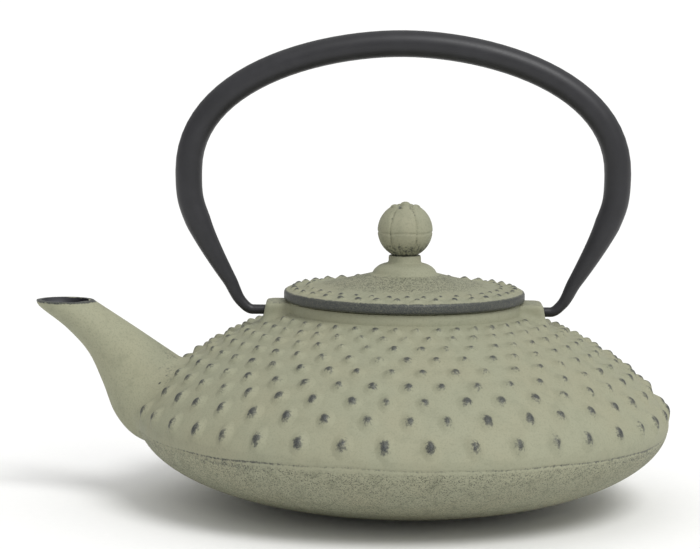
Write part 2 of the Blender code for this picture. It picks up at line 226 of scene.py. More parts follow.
def enamel(name):
    made, g, here = new_finish(name)
    wear, grain, pale = [g.node("ShaderNodeAttribute", {"attribute_name": label}, output="Fac")
                         for label in ("wear", "grain", "pale")]

    clouds = g.noise(here, 22 * MM, 3.0)
    blotch = g.noise(here, 6 * MM, 3.0, 0.6)
    sand = g.noise(here, 0.7 * MM, 2.0, 0.65)
    crumb = g.noise(here, 1.5 * MM, 2.0, 0.6)

    pit_spot = 1.0 - g.smooth(g.cells(here, 0.62 * MM), 0.15, 0.55)
    pit_here = g.smooth(crumb + grain * 0.3, 0.5, 0.85)
    pits = pit_spot * pit_here * g.smooth(grain, 0.15, 0.7)

    ragged = crumb * 1.1 + sand * 0.9 - 1.0
    # Where the dark iron shows: rubbed wear, and in a few places painted shade.
    rubbed_and_shaded = g.smooth(wear + ragged, 0.32, 0.84)
    scratch = g.smooth(g.noise(here, 0.35 * MM, 2.0, 0.7), 0.42, 0.6)

    green = g.mix(g.smooth(clouds, 0.35, 0.7), GREEN, GREEN_WARM)
    # A lighter green where pale asks for it: painted light on the outer spout, a paler band on the
    # bowl.
    green = g.mix(pale * 0.8, green, GREEN_PALE_AND_LIT)
    green = g.mix(g.smooth(blotch, 0.45, 0.8) * (0.25 + 0.5 * grain), green, GREEN_DEEP)
    green = g.mix(g.smooth(sand, 0.45, 0.75) * (0.25 + 0.75 * grain), green, GREEN_DEEP)
    green = g.mix(pits * (0.4 + 0.5 * grain), green, PIT)
    colour = g.mix(rubbed_and_shaded * (0.97 - 0.55 * scratch * (1.45 - wear)), green, IRON_AND_SHADE)

    height = sand * (0.35 + 0.5 * grain) + crumb * (0.25 + 0.6 * grain) - pits * 1.2 - rubbed_and_shaded * 0.15
    g.surface({
        "Base Color": colour,
        "Roughness": 0.66 + 0.12 * sand - rubbed_and_shaded * 0.22,
        "Metallic": rubbed_and_shaded * 0.25,
        "Specular IOR Level": 0.35,
        "Normal": g.bump(height, 0.45, 0.35 * MM)})
    return made


sage_enamel = enamel("sage_enamel")
print("nodes in sage_enamel:", len(sage_enamel.node_tree.nodes))

# %% [markdown]
# ## Black glaze, handle lacquer and steel
# The inside is a thin black glaze, smooth but a little wavy. The handle is a satin lacquer with a
# faint bloom. The basket is stainless sheet, brushed round its axis, so its streaks are noise that
# changes quickly with height and slowly round the turn.

# %% The other finishes
SATIN = 0.3
SATIN_SPREAD = 0.2
STREAKS_PER_METRE = 2500.0


def satin_coat(name, dark, light, drift_size, bump_size, gloss):
    """One shader whose colour and roughness drift, with a fine bump."""
    made, g, here = new_finish(name)
    drift = g.noise(here, drift_size, 4.0, 0.6)
    fine = g.noise(here, bump_size, 3.0, 0.6)
    g.surface({
        "Base Color": g.mix(g.smooth(drift, 0.35, 0.7), dark, light),
        "Roughness": SATIN + SATIN_SPREAD * fine + 0.5 * SATIN_SPREAD * drift,
        "Specular IOR Level": gloss,
        "Normal": g.bump(fine + drift, 0.2, 0.1 * MM)})
    return made


def brushed_steel(name):
    made, g, here = new_finish(name)
    split = g.node("ShaderNodeSeparateXYZ", {}, {"Vector": here})
    x, y, z = [Wire(g, socket) for socket in split.socket.node.outputs]
    turn = x.maths("ARCTAN2", y, x)
    reach = x.maths("SQRT", x * x + y * y)
    streak_place = g.node("ShaderNodeCombineXYZ", {}, {
        "X": turn * 1.5, "Y": reach * STREAKS_PER_METRE, "Z": z * STREAKS_PER_METRE})
    streaks = g.noise(streak_place, 1.0, 3.0)
    smudge = g.noise(here, 9 * MM, 3.0)
    g.surface({
        "Base Color": g.mix(streaks, srgb(186, 186, 184), srgb(214, 213, 210)),
        "Roughness": 0.2 + 0.14 * streaks + 0.1 * smudge,
        "Metallic": 1.0,
        "Normal": g.bump(streaks, 0.15, 0.05 * MM)})
    return made


black_glaze = satin_coat("black_glaze", srgb(58, 58, 62), srgb(72, 72, 76), 5 * MM, 0.8 * MM, 0.4)
handle_lacquer = satin_coat("handle_lacquer", srgb(23, 23, 27), srgb(30, 30, 34),
                            8 * MM, 0.5 * MM, 0.5)
basket_steel = brushed_steel("basket_steel")
print("finishes:", [m.name for m in (sage_enamel, black_glaze, handle_lacquer, basket_steel)])

# %% [markdown]
# ## Turned shapes
# The pattern for nearly every part of this pot was turned on a lathe before the part was cast, so
# a profile of (radius, height) points, spun about Z, gives most of the pieces. The spout and the
# lugs aren't round, and a loft through rings of points gives those.

# %% Lathe and loft
ON_AXIS = 1e-9


def new_piece(name, verts, faces, *materials):
    mesh = bpy.data.meshes.new(name)
    mesh.from_pydata([tuple(v) for v in verts], [], faces)
    mesh.validate()
    for finish in materials:
        mesh.materials.append(finish)
    return add_object(name, mesh)


def lathe(name, profile, steps, *materials, closed=False):
    """Spins a profile that runs down the outer side. A radius of 0 becomes one point."""
    turns = np.arange(steps) * 2.0 * math.pi / steps
    verts, rings = [], []
    for r, z in profile:
        if r < ON_AXIS:
            rings.append([len(verts)] * steps)
            verts.append((0.0, 0.0, z))
        else:
            rings.append(list(range(len(verts), len(verts) + steps)))
            verts.extend(zip(r * np.cos(turns), r * np.sin(turns), np.full(steps, z)))
    pairs = list(zip(rings, rings[1:]))
    if closed:
        pairs.append((rings[-1], rings[0]))
    faces = []
    for upper, lower in pairs:
        for k in range(steps):
            j = (k + 1) % steps
            corners = [upper[k], lower[k], lower[j], upper[j]]
            faces.append(tuple(dict.fromkeys(corners)))
    return new_piece(name, verts, faces, *materials)


def loft(name, rings, *materials):
    """A closed tube through rings of points, capped at both ends."""
    sides = len(rings[0])
    verts = [point for ring in rings for point in ring]
    faces = []
    for start in range(0, (len(rings) - 1) * sides, sides):
        for k in range(sides):
            j = (k + 1) % sides
            faces.append((start + k, start + j, start + sides + j, start + sides + k))
    faces.append(tuple(range(sides - 1, -1, -1)))
    faces.append(tuple(range(len(verts) - sides, len(verts))))
    piece = new_piece(name, verts, faces, *materials)
    shape = bmesh.new()
    shape.from_mesh(piece.data)
    bmesh.ops.recalc_face_normals(shape, faces=shape.faces)
    shape.to_mesh(piece.data)
    shape.free()
    return piece


def even_steps(profile, pitch):
    """The same outline with points about one pitch apart, its corners kept."""
    dense = [profile[0]]
    for (r0, z0), (r1, z1) in zip(profile, profile[1:]):
        count = max(1, round(math.hypot(r1 - r0, z1 - z0) / pitch))
        dense += [(r0 + (r1 - r0) * k / count, z0 + (z1 - z0) * k / count)
                  for k in range(1, count + 1)]
    return dense


print("a 10 mm line in 3 mm steps:", even_steps([(0.0, 0.0), (10.0, 0.0)], 3.0))

# %% [markdown]
# ## The pot's outline
# The shoulder is a superellipse from the belly up to the neck and the bowl is a quarter of an
# ellipse down to the foot. The two halves of the mould met just under the belly and left a seam,
# so the rows are closer together there. The studs come later and stand on this surface, which is
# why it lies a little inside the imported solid.

# %% Shoulder and bowl
BELLY_R = pot_high.y - 0.4 * MM
BELLY_Z = 34 * MM
SHOULDER_RISE = 51.8 * MM
SHOULDER_POWER = 1.515
BOWL_CENTRE_R = 16 * MM
FOOT_R = 38 * MM
NECK_R = 45.5 * MM
NECK_TOP = pot_high.z
SEAM_Z = 30.6 * MM
WALL = 3.2 * MM
POT_SIDES = 288
ROW_PITCH = 3 * MM
SHOULDER_ROWS = 60
BOWL_ROWS = 110
FINE_BOWL_ROWS = 26


def shoulder_z(r, belly, rise):
    return BELLY_Z + rise * (1.0 - (r / belly) ** SHOULDER_POWER) ** (1.0 / SHOULDER_POWER)


def shoulder(top_r, belly, rise, count):
    power = 2.0 / SHOULDER_POWER
    start = math.acos((top_r / belly) ** (1.0 / power))
    turns = [start * (1.0 - k / count) for k in range(count)]
    return [(belly * math.cos(t) ** power, BELLY_Z + rise * math.sin(t) ** power) for t in turns]


def bowl(belly, depth, end_r, count):
    radius = belly - BOWL_CENTRE_R
    end = math.acos((end_r - BOWL_CENTRE_R) / radius)
    turns = [end * k / count for k in range(count + 1)]
    return [(BOWL_CENTRE_R + radius * math.cos(t), BELLY_Z - depth * math.sin(t)) for t in turns]


outside = [(0.0, NECK_TOP), (NECK_R - 0.9 * MM, NECK_TOP),
           (NECK_R - 0.3 * MM, NECK_TOP - 0.2 * MM), (NECK_R, NECK_TOP - 0.8 * MM)]
outside += shoulder(NECK_R, BELLY_R, SHOULDER_RISE, SHOULDER_ROWS)
bowl_rows = bowl(BELLY_R, BELLY_Z, FOOT_R, BOWL_ROWS)
outside += [row for k, row in enumerate(bowl_rows) if k < FINE_BOWL_ROWS or k % 2 == 0]
outside += [(FOOT_R - 0.6 * MM, 0.0), (FOOT_R - 6 * MM, 0.0), (0.0, 0.0)]
shell = lathe("pot_shell", even_steps(outside, ROW_PITCH), POT_SIDES)
print("rows:", len(outside), "faces:", len(shell.data.polygons))

# %% [markdown]
# ## The seam
# A mould seam wanders by half a millimetre, so its height is a slow wave of the turn. It is cut as
# a shallow groove into the mesh, and its dark line is painted later along the same wave.

# %% Cut the seam
SEAM_WIDTH = 0.45 * MM
SEAM_DEPTH = 0.3 * MM
SEAM_MIN_R = 80 * MM


def seam_height(turn):
    wave = 0.45 * np.sin(3 * turn + 0.6) + 0.3 * np.sin(7 * turn + 2.0) + 0.15 * np.sin(17 * turn)
    return SEAM_Z + MM * wave


def points_of(mesh):
    flat = np.empty(len(mesh.vertices) * 3)
    mesh.vertices.foreach_get("co", flat)
    return flat.reshape(-1, 3)


def put_points(mesh, points):
    mesh.vertices.foreach_set("co", points.ravel())
    mesh.update()


def around(points):
    """How far round the axis and how far from it each point is."""
    return np.arctan2(points[:, 1], points[:, 0]), np.hypot(points[:, 0], points[:, 1])


points = points_of(shell.data)
turn, reach = around(points)
gap = (points[:, 2] - seam_height(turn)) / SEAM_WIDTH
groove = SEAM_DEPTH * np.exp(-gap ** 2) * (reach > SEAM_MIN_R)
points[:, :2] *= (1.0 - groove / np.maximum(reach, MM))[:, None]
put_points(shell.data, points)
print("seam groove at most", round(groove.max() / MM, 2), "mm deep")

# %% [markdown]
# ## The spout and the lugs
# The spout is a loft of ovals, and each lug is a loft of rounded rectangles. On the casting they
# meet the body in a soft fillet. A fillet can be made by a bevel after a boolean, which often
# fails on a dense mesh. Here each point that is within the fillet's radius of the body is pushed
# away from its ring's centre along a quarter circle, so the shape meets the body at a tangent.

# %% Fillets by pushing points
def tree_of(piece):
    mesh = piece.data
    faces = [tuple(face.vertices) for face in mesh.polygons]
    return BVHTree.FromPolygons([v.co for v in mesh.vertices], faces)


shell_tree = tree_of(shell)


def filleted(ring, radii):
    """The ring with its points near the body moved out onto a fillet."""
    centre = sum(ring, Vector()) / len(ring)
    moved = []
    for point, radius in zip(ring, radii):
        nearest, normal, _, _ = shell_tree.find_nearest(point)
        height = max(0.0, (point - nearest).dot(normal))
        if height < radius:
            away = point - centre
            away -= normal * away.dot(normal)
            rise = radius - height
            point = point + away.normalized() * (radius - math.sqrt(radius * radius - rise * rise))
        moved.append(point)
    return moved


# %% Spout sections
# (top x, top z, under x, under z, half width, wall) in mm, from the root to the mouth.
SPOUT_SECTIONS = [
    (-80.0, 51.5, -92.5, 20.5, 19.0, 3.2),
    (-85.2, 55.0, -104.9, 25.5, 17.0, 3.2),
    (-90.2, 58.4, -112.8, 34.2, 14.0, 3.1),
    (-96.7, 62.7, -117.8, 46.7, 12.0, 2.9),
    (-104.7, 68.0, -123.4, 58.5, 10.8, 2.6),
    (-113.2, 73.5, -132.0, 68.0, 10.2, 2.3),
    (-119.4, 77.5, -142.1, 75.9, 10.0, 2.0),
    (-121.4, 78.8, -143.7, 78.8, 10.0, 1.9),
]
SPOUT_STEPS = 16
SPOUT_SIDES = 72
CHANNEL_STEPS = 5
CHANNEL_SIDES = 40


def between(p0, p1, p2, p3, t):
    """A smooth value between p1 and p2."""
    return 0.5 * (2.0 * p1 + (p2 - p0) * t + (2.0 * p0 - 5.0 * p1 + 4.0 * p2 - p3) * t * t
                  + (3.0 * p1 - p0 - 3.0 * p2 + p3) * t ** 3)


def even_turns(sides):
    return [2.0 * math.pi * side / sides for side in range(sides)]


def spout_rings(inset, steps, sides):
    """Rings of the spout's outside, or of its channel when inset is true."""
    padded = [SPOUT_SECTIONS[0], *SPOUT_SECTIONS, SPOUT_SECTIONS[-1]]
    rows = []
    for k in range(len(SPOUT_SECTIONS) - 1):
        rows += [[between(*four, step / steps) for four in zip(*padded[k:k + 4])]
                 for step in range(steps)]
    rows.append(SPOUT_SECTIONS[-1])
    rings = []
    for top_x, top_z, under_x, under_z, half_width, wall in rows:
        top = Vector((top_x, 0.0, top_z)) * MM
        under = Vector((under_x, 0.0, under_z)) * MM
        reach = (top - under) / 2
        width = half_width * MM
        if inset:
            width -= wall * MM
            reach *= 1.0 - wall * MM / reach.length
        middle = (top + under) / 2
        rings.append([middle + reach * math.cos(t) + Vector((0.0, width * math.sin(t), 0.0))
                      for t in even_turns(sides)])
    return rings


rings = spout_rings(False, SPOUT_STEPS, SPOUT_SIDES)
# The fillet is widest at the spout's sides, small on top and nearly nothing under it.
radii = [MM * (1.7 + 1.3 * math.cos(t) + 4.0 * abs(math.sin(t)) ** 1.5)
         for t in even_turns(SPOUT_SIDES)]
rings = [filleted(ring, radii) for ring in rings]
mouth = rings.pop()
mouth_centre = sum(mouth, Vector()) / len(mouth)
for drop, shrink in ((0.5, 0.0), (0.15, 0.15), (0.0, 0.5)):
    lowered = Vector((0, 0, drop * MM))
    rings.append([p + (mouth_centre - p).normalized() * shrink * MM - lowered for p in mouth])
spout = loft("spout_outside", rings)
lowest = min(p.z for ring in rings for p in ring)
print("spout rings:", len(rings), "lowest", round(lowest / MM, 1))

# %% Lugs
LUG_TOP = 79.5 * MM
LUG_FOOT = 62.0 * MM
LUG_FACE = 55.4 * MM
LUG_ROOT = 40.0 * MM
LUG_HALF_WIDTH = 9.0 * MM
LUG_LEAN = 1.6 * MM
LUG_ROUNDING = 1.6 * MM
LUG_CORNER = 2.4 * MM
LUG_FILLET = 2.6 * MM
LUG_ROWS = 16
CORNER_POINTS = 7
SIDE_POINTS = 10


def rounded_box_ring(x0, x1, half, corner, z, side):
    ring = []
    for cx, cy, start in ((x1, half, 0), (x0, half, 90), (x0, -half, 180), (x1, -half, 270)):
        for step in range(CORNER_POINTS):
            angle = math.radians(start + 90 / (CORNER_POINTS - 1) * step)
            inward_x = -corner if cx == x1 else corner
            inward_y = -corner if cy > 0 else corner
            ring.append(Vector((side * (cx + inward_x + corner * math.cos(angle)),
                                cy + inward_y + corner * math.sin(angle), z)))
    dense = []
    for k, (a, b) in enumerate(zip(ring, ring[1:] + ring[:1])):
        count = SIDE_POINTS if (k + 1) % CORNER_POINTS == 0 else 1
        dense += [a.lerp(b, step / count) for step in range(count)]
    return dense


lugs = []
for side, word in ((-1, "spout_side"), (1, "far_side")):
    rows = []
    for k in range(LUG_ROWS + 1):
        z = LUG_FOOT + (LUG_TOP - LUG_ROUNDING - LUG_FOOT) * k / LUG_ROWS
        lean = LUG_LEAN * (1.0 - 2.0 * (z - LUG_FOOT) / (LUG_TOP - LUG_FOOT))
        rows.append((z, LUG_FACE + lean, LUG_HALF_WIDTH + max(lean, 0.0), 0.0))
    z, face, half, _ = rows[-1]
    for angle in (30, 60, 90):
        drop = LUG_ROUNDING * (1.0 - math.cos(math.radians(angle)))
        rows.append((z + LUG_ROUNDING * math.sin(math.radians(angle)), face, half, drop))
    rings = []
    for z, face, half, drop in rows:
        ring = rounded_box_ring(LUG_ROOT + drop, face - drop, half - drop, LUG_CORNER, z, side)
        rings.append(filleted(ring, [LUG_FILLET] * len(ring)))
    lugs.append(loft(f"lug_{word}", rings))
print("lug faces:", [len(lug.data.polygons) for lug in lugs])

# %% [markdown]
# ## Joining and hollowing
# One stack of Boolean modifiers joins the pieces, hollows them with the same walls as the packed
# solid and drills the lugs. The result becomes a plain mesh, and the tools are deleted.

# %% Cutters and booleans
RECESS_R = 42 * MM
LEDGE_Z = 76.5 * MM
MOUTH_R = 38.5 * MM
HINGE_Z = frame["record"]["behaviour"]["joints"][0]["pos_m"][2]
INNER_RISE = 48.8 * MM
OVERSHOOT = 5 * MM
DRILL_R = 2.15 * MM
DRILL_FROM, DRILL_TO = 45.6 * MM, 60.0 * MM
DRILL_SIDES = 32

inner_belly = pot_high.y - WALL
open_top = NECK_TOP + OVERSHOOT
hollow = [(0.0, open_top), (RECESS_R, open_top), (RECESS_R, LEDGE_Z), (MOUTH_R, LEDGE_Z)]
hollow += shoulder(MOUTH_R, inner_belly, INNER_RISE, 28)
hollow += bowl(inner_belly, BELLY_Z - WALL, BOWL_CENTRE_R, 24) + [(0.0, WALL)]
cavity = lathe("cavity", hollow, 144)
inner = spout_rings(True, CHANNEL_STEPS, CHANNEL_SIDES)
inner.insert(0, [p + Vector((OVERSHOOT, 0, 0)) for p in inner[0]])
inner.append([p + Vector((0, 0, OVERSHOOT)) for p in inner[-1]])
channel = loft("channel", inner)
circle = [(DRILL_R * math.cos(t), HINGE_Z + DRILL_R * math.sin(t)) for t in even_turns(DRILL_SIDES)]
drills = [loft(f"drill_{side}", [[Vector((side * x, y, z)) for y, z in circle]
                                 for x in (DRILL_FROM, DRILL_TO)]) for side in (-1, 1)]


def cut(piece, tool, operation):
    step = piece.modifiers.new(tool.name, "BOOLEAN")
    step.operation = operation
    step.solver = "MANIFOLD"
    step.object = tool


def baked(piece, name):
    """The piece as its modifiers leave it, as a plain mesh with the old object gone."""
    finished = piece.evaluated_get(bpy.context.evaluated_depsgraph_get())
    made = bpy.data.meshes.new_from_object(finished)
    made.name = name
    plain = add_object(name, made)
    bpy.data.objects.remove(piece, do_unlink=True)
    return plain


for tool in (spout, *lugs):
    cut(shell, tool, "UNION")
for tool in (cavity, channel, *drills):
    cut(shell, tool, "DIFFERENCE")
pot = baked(shell, "pot_casting")
print("casting:", len(pot.data.vertices), "points")

# %% [markdown]
# ## Shading and wear on the casting
# Every face is smooth except along real corners. Then each point is given its wear and grain from
# where it is: the seam, the worn band under it, the mouth's rim, the lugs' edges and the coarse
# bowl. The outside of the neck just under the lid's rim is darkened as painted shade, and the outer
# spout is painted a lighter green, which is painted light; the bowl just under the seam is a little
# paler. Faces that lie on the hollow or the channel take the black glaze.

# %% Helpers for smooth faces and painted attributes
CAST_CORNER = 38
TURNED_CORNER = 50
SHEET_CORNER = 35


def smooth_by_angle(piece, degrees):
    shape = bmesh.new()
    shape.from_mesh(piece.data)
    limit = math.radians(degrees)
    for face in shape.faces:
        face.smooth = True
    for edge in shape.edges:
        edge.smooth = not edge.is_manifold or edge.calc_face_angle(0.0) < limit
    shape.to_mesh(piece.data)
    shape.free()


def paint(piece, name, values):
    layer = piece.data.attributes.new(name, "FLOAT", "POINT")
    layer.data.foreach_set("value", np.clip(values, 0.0, 1.0).astype(np.float32))


def bell(value, centre, width):
    """1 at the centre, falling off smoothly over about the width."""
    return np.exp(-((value - centre) / width) ** 2)


def ramp(value, low, high):
    """0 below low, 1 above high and a soft step between, as Graph.smooth does on sockets."""
    share = np.clip((value - low) / (high - low), 0.0, 1.0)
    return share * share * (3.0 - 2.0 * share)


# %% Paint the casting
ON_SURFACE = 0.02 * MM
IN_HOLLOW = 0.06 * MM


def paint_casting(piece, spout_tree, inside_trees):
    """Radii and heights inside ramp and bell are in mm."""
    mesh = piece.data
    mesh.materials.clear()
    mesh.materials.append(sage_enamel)
    mesh.materials.append(black_glaze)
    for face in mesh.polygons:
        gaps = [tree.find_nearest(face.center)[3] for tree in inside_trees]
        face.material_index = int(min(gaps) < IN_HOLLOW)
    p = points_of(mesh)
    turn, reach = around(p)
    z = p[:, 2] / MM
    spout_gap = np.array([spout_tree.find_nearest(v.co)[3] for v in mesh.vertices])
    on_spout = (spout_gap < ON_SURFACE) & (reach > 88 * MM)
    body = ~on_spout
    below = ramp(-p[:, 2], -SEAM_Z, -SEAM_Z + 2 * MM) * body

    patchy = 0.5 + 0.28 * np.sin(5 * turn + 1.1) + 0.22 * np.sin(11 * turn + 0.4)
    worn_ends = bell(turn, -0.62, 0.35) + bell(turn, -2.22, 0.26)
    seam = bell(p[:, 2], seam_height(turn), 0.55 * MM) * body
    seam *= 0.36 + 0.2 * patchy + 0.35 * worn_ends
    band = bell(z, 28.2, 2.0) * (0.12 + 0.14 * patchy + 0.27 * worn_ends) * body
    rim = ramp(z, 77.5, 78.6) * on_spout
    flecks = 0.24 + 0.2 * np.abs(np.sin(37 * turn))
    root = bell(reach / MM, 92.0, 5.0) * on_spout * ramp(z, 36, 44) * flecks
    lug_top = bell(z, 79.4, 0.5) * (reach > 46 * MM) * (reach < 60 * MM) * 0.45
    # Painted shade: the outside of the neck just under the lid's rim is darkened with the dark iron
    # colour.
    painted_shade_under_lid = (bell(reach / MM, 45.3, 0.8) * ramp(z, 78.6, 79.6)) * 0.4
    wear = np.maximum.reduce([seam, band, rim, root, lug_top, painted_shade_under_lid])
    grain = 0.12 + 0.75 * below + 0.12 * on_spout
    # Painted light: the outer spout is painted a lighter green. The bowl just under the seam is a
    # little paler.
    spout_painted_light = 0.4 * on_spout * ramp(reach / MM, 94, 106)
    pale = np.maximum(spout_painted_light, 0.2 * below * ramp(z, 22, 28))
    paint(piece, "wear", wear)
    paint(piece, "grain", grain)
    paint(piece, "pale", pale)


smooth_by_angle(pot, CAST_CORNER)
paint_casting(pot, tree_of(spout), [tree_of(cavity), tree_of(channel)])
glazed = sum(face.material_index for face in pot.data.polygons)
print("glazed faces:", glazed, "of", len(pot.data.polygons))

# %% [markdown]
# ## Rings of studs as a geometry tree
# Studs stand in rings round the shoulder, half a step out of line from one ring to the next. A
# loop in Python could place them, but a geometry tree says the rule once and keeps its numbers on
# named inputs. It takes one point for each ring, with the ring's facts as attributes, and copies
# each point round the axis. Close to the spout and the lugs the studs shrink, and a stud whose ray
# outwards meets one of them from the inside would be buried in it, so it is left out. A real stud
# is part of the casting, so the tree lays each flat stud on the surface and only then raises its
# points, by the height of that point on the stud. A stud beside a fillet bends with the fillet.

# %% Helpers for geometry trees
def new_tree(name, inputs):
    tree = bpy.data.node_groups.new(name, "GeometryNodeTree")
    tree.interface.new_socket("Geometry", in_out="OUTPUT", socket_type="NodeSocketGeometry")
    for label, kind in inputs:
        tree.interface.new_socket(label, in_out="INPUT", socket_type=kind)
    graph = Graph(tree)
    entry = tree.nodes.new("NodeGroupInput")
    given = {socket.name: Wire(graph, socket) for socket in entry.outputs if socket.name}
    return tree, graph, given


def attribute(graph, name, kind="FLOAT"):
    return graph.node("GeometryNodeInputNamedAttribute", {"data_type": kind}, {"Name": name},
                      "Attribute")


def shape_of(graph, source):
    return graph.node("GeometryNodeObjectInfo", {"transform_space": "RELATIVE"},
                      {"Object": source}, "Geometry")


def stored(graph, geometry, name, value):
    return graph.node("GeometryNodeStoreNamedAttribute", {"data_type": "FLOAT", "domain": "POINT"},
                      {"Geometry": geometry, "Name": name, "Value": value})


def dot(graph, first, second):
    return graph.node("ShaderNodeVectorMath", {"operation": "DOT_PRODUCT"},
                      {0: first, 1: second}, "Value")


# %% Studs in rings
SMALLEST_SHARE = 0.12
RAY_LENGTH = 50 * MM
FLAT = 0.01 * MM
SINK = 0.06 * MM


def stud_tree():
    tree, g, given = new_tree("studs_in_rings", [
        ("Geometry", "NodeSocketGeometry"), ("Studs per Ring", "NodeSocketInt"),
        ("Stud", "NodeSocketObject"), ("Surface", "NodeSocketObject"),
        ("Neighbour", "NodeSocketObject"), ("Clearance", "NodeSocketFloat"),
        ("Unevenness", "NodeSocketFloat"), ("Seed", "NodeSocketInt"),
        ("Finish", "NodeSocketMaterial")])
    points = g.node("GeometryNodeMeshToPoints", {}, {"Mesh": given["Geometry"]})
    copies = g.node("GeometryNodeDuplicateElements", {"domain": "POINT"},
                    {"Geometry": points, "Amount": given["Studs per Ring"]})
    number = Wire(g, copies.socket.node.outputs["Duplicate Index"])

    def uneven(offset, size):
        wide = g.node("FunctionNodeRandomValue", {"data_type": "FLOAT"},
                      {2: -1.0, 3: 1.0, "Seed": given["Seed"] + offset}, 1)
        return wide * given["Unevenness"] * size

    steps = number + attribute(g, "phase") + uneven(1, 0.06)
    turn = steps * (2.0 * math.pi) / given["Studs per Ring"]
    start = g.node("GeometryNodeInputPosition")
    swung = g.node("ShaderNodeVectorRotate", {"rotation_type": "Z_AXIS"},
                   {"Vector": start, "Angle": turn})
    placed = g.node("GeometryNodeSetPosition", {}, {"Geometry": copies, "Position": swung})

    # How much room each stud has: 0 inside the spout or a lug, 1 well away from them.
    other = shape_of(g, given["Neighbour"])
    distance = g.node("GeometryNodeProximity", {"target_element": "FACES"}, {"Geometry": other},
                      "Distance")
    slope = attribute(g, "lean")
    outward = g.node("ShaderNodeCombineXYZ", {}, {
        "X": slope.maths("SINE", slope) * turn.maths("COSINE", turn),
        "Y": slope.maths("SINE", slope) * turn.maths("SINE", turn),
        "Z": slope.maths("COSINE", slope)})
    struck = g.node("GeometryNodeRaycast", {}, {
        "Target Geometry": other, "Ray Direction": outward, "Ray Length": RAY_LENGTH}, "Is Hit")
    from_inside = dot(g, Wire(g, struck.socket.node.outputs["Hit Normal"]), outward) > 0.0
    room = g.smooth(distance, 0.0, given["Clearance"]) * (1.0 - struck * from_inside)
    kept = g.node("GeometryNodeDeleteGeometry", {"domain": "POINT"},
                  {"Geometry": placed, "Selection": room < SMALLEST_SHARE})
    noted = stored(g, kept, "rub", attribute(g, "mark") * (0.97 + uneven(3, 0.2)))
    noted = stored(g, noted, "tall", attribute(g, "height") * (0.95 + uneven(6, 0.05)) * room)

    # The studs, flat and turned to their places.
    lean = g.node("ShaderNodeCombineXYZ", {}, {"Y": slope, "Z": turn})
    size = g.node("ShaderNodeCombineXYZ", {}, {
        "X": attribute(g, "length") * (0.95 + uneven(4, 0.1)) * room,
        "Y": attribute(g, "width") * (0.95 + uneven(5, 0.08)) * room,
        "Z": FLAT})
    set_on = g.node("GeometryNodeInstanceOnPoints", {}, {
        "Points": noted, "Instance": shape_of(g, given["Stud"]), "Rotation": lean, "Scale": size})
    real = g.node("GeometryNodeRealizeInstances", {}, {"Geometry": set_on})

    # Laid on the casting, then raised by their own heights. A stud's foot sinks in a little.
    under = shape_of(g, given["Surface"])
    seat = g.node("GeometryNodeProximity", {"target_element": "FACES"}, {"Geometry": under},
                  "Position")
    facing = g.node("GeometryNodeSampleNearestSurface", {"data_type": "FLOAT_VECTOR"},
                    {"Mesh": under, "Value": g.node("GeometryNodeInputNormal")}, 0)
    peak = attribute(g, "peak")
    lift = peak * attribute(g, "tall") - SINK * (1.0 - peak)
    raised = g.node("ShaderNodeVectorMath", {"operation": "SCALE"}, {0: facing, "Scale": lift})
    moulded = g.node("GeometryNodeSetPosition", {}, {
        "Geometry": real,
        "Position": g.node("ShaderNodeVectorMath", {"operation": "ADD"}, {0: seat, 1: raised})})
    worn = stored(g, moulded, "wear", attribute(g, "wear") * attribute(g, "rub"))
    done = g.node("GeometryNodeSetMaterial", {}, {"Geometry": worn, "Material": given["Finish"]})
    g.node("NodeGroupOutput", {}, {"Geometry": done})
    return tree


studs_in_rings = stud_tree()
print("nodes in studs_in_rings:", len(studs_in_rings.nodes))

# %% [markdown]
# ## One stud
# A stud is a low peak with a soft foot. It is one unit in radius and height here, and the tree
# gives it its real size. Each point's height is also kept in an attribute named peak, which the
# tree reads after it has laid the stud flat. The rubbed tip is painted once, on this mesh, and
# reaches a little down the slope.

# %% Model the stud
STUD_SHARES = (0.0, 0.14, 0.28, 0.42, 0.58, 0.78, 1.0)
STUD_SIDES = 14
STUD_SHARPNESS = 1.1
RUBBED_SHARE = 0.34
RUB_SHIFT = 0.04
SMOOTH_GRAIN = 0.12

profile = [(share, (0.5 + 0.5 * math.cos(math.pi * share)) ** STUD_SHARPNESS)
           for share in STUD_SHARES]
stud = lathe("stud", profile, STUD_SIDES, sage_enamel)
stud.data.shade_smooth()
p = points_of(stud.data)
paint(stud, "wear", 1.0 - 0.5 * np.hypot(p[:, 0] - RUB_SHIFT, p[:, 1]) / RUBBED_SHARE)
paint(stud, "grain", np.full(len(p), SMOOTH_GRAIN))
paint(stud, "peak", p[:, 2])
print("stud faces:", len(stud.data.polygons))

# %% [markdown]
# ## Where the rings are
# A ring's facts come from its radius: the height of the surface, how far that surface leans, and
# the stud's size, which grows towards the belly.

# %% Points that carry facts, and running a tree
SLOPE_STEP = 0.2 * MM


def loose_points(name, places, columns, kind="FLOAT", field="value"):
    """Points without faces, with each column's values as an attribute of that name."""
    mesh = bpy.data.meshes.new(name)
    mesh.from_pydata(places, [], [])
    for label, values in columns.items():
        mesh.attributes.new(label, kind, "POINT").data.foreach_set(field, np.ravel(values))
    return add_object(name, mesh)


def ring_points(name, rings, surface):
    """One point for each ring: (radius, half width, half length, height, phase, mark)."""
    radii, *facts = zip(*rings)
    columns = dict(zip(("width", "length", "height", "phase", "mark"), facts))
    columns["lean"] = [math.atan2(surface(r - SLOPE_STEP) - surface(r + SLOPE_STEP), 2 * SLOPE_STEP)
                       for r in radii]
    return loose_points(name, [(r, 0.0, surface(r)) for r in radii], columns)


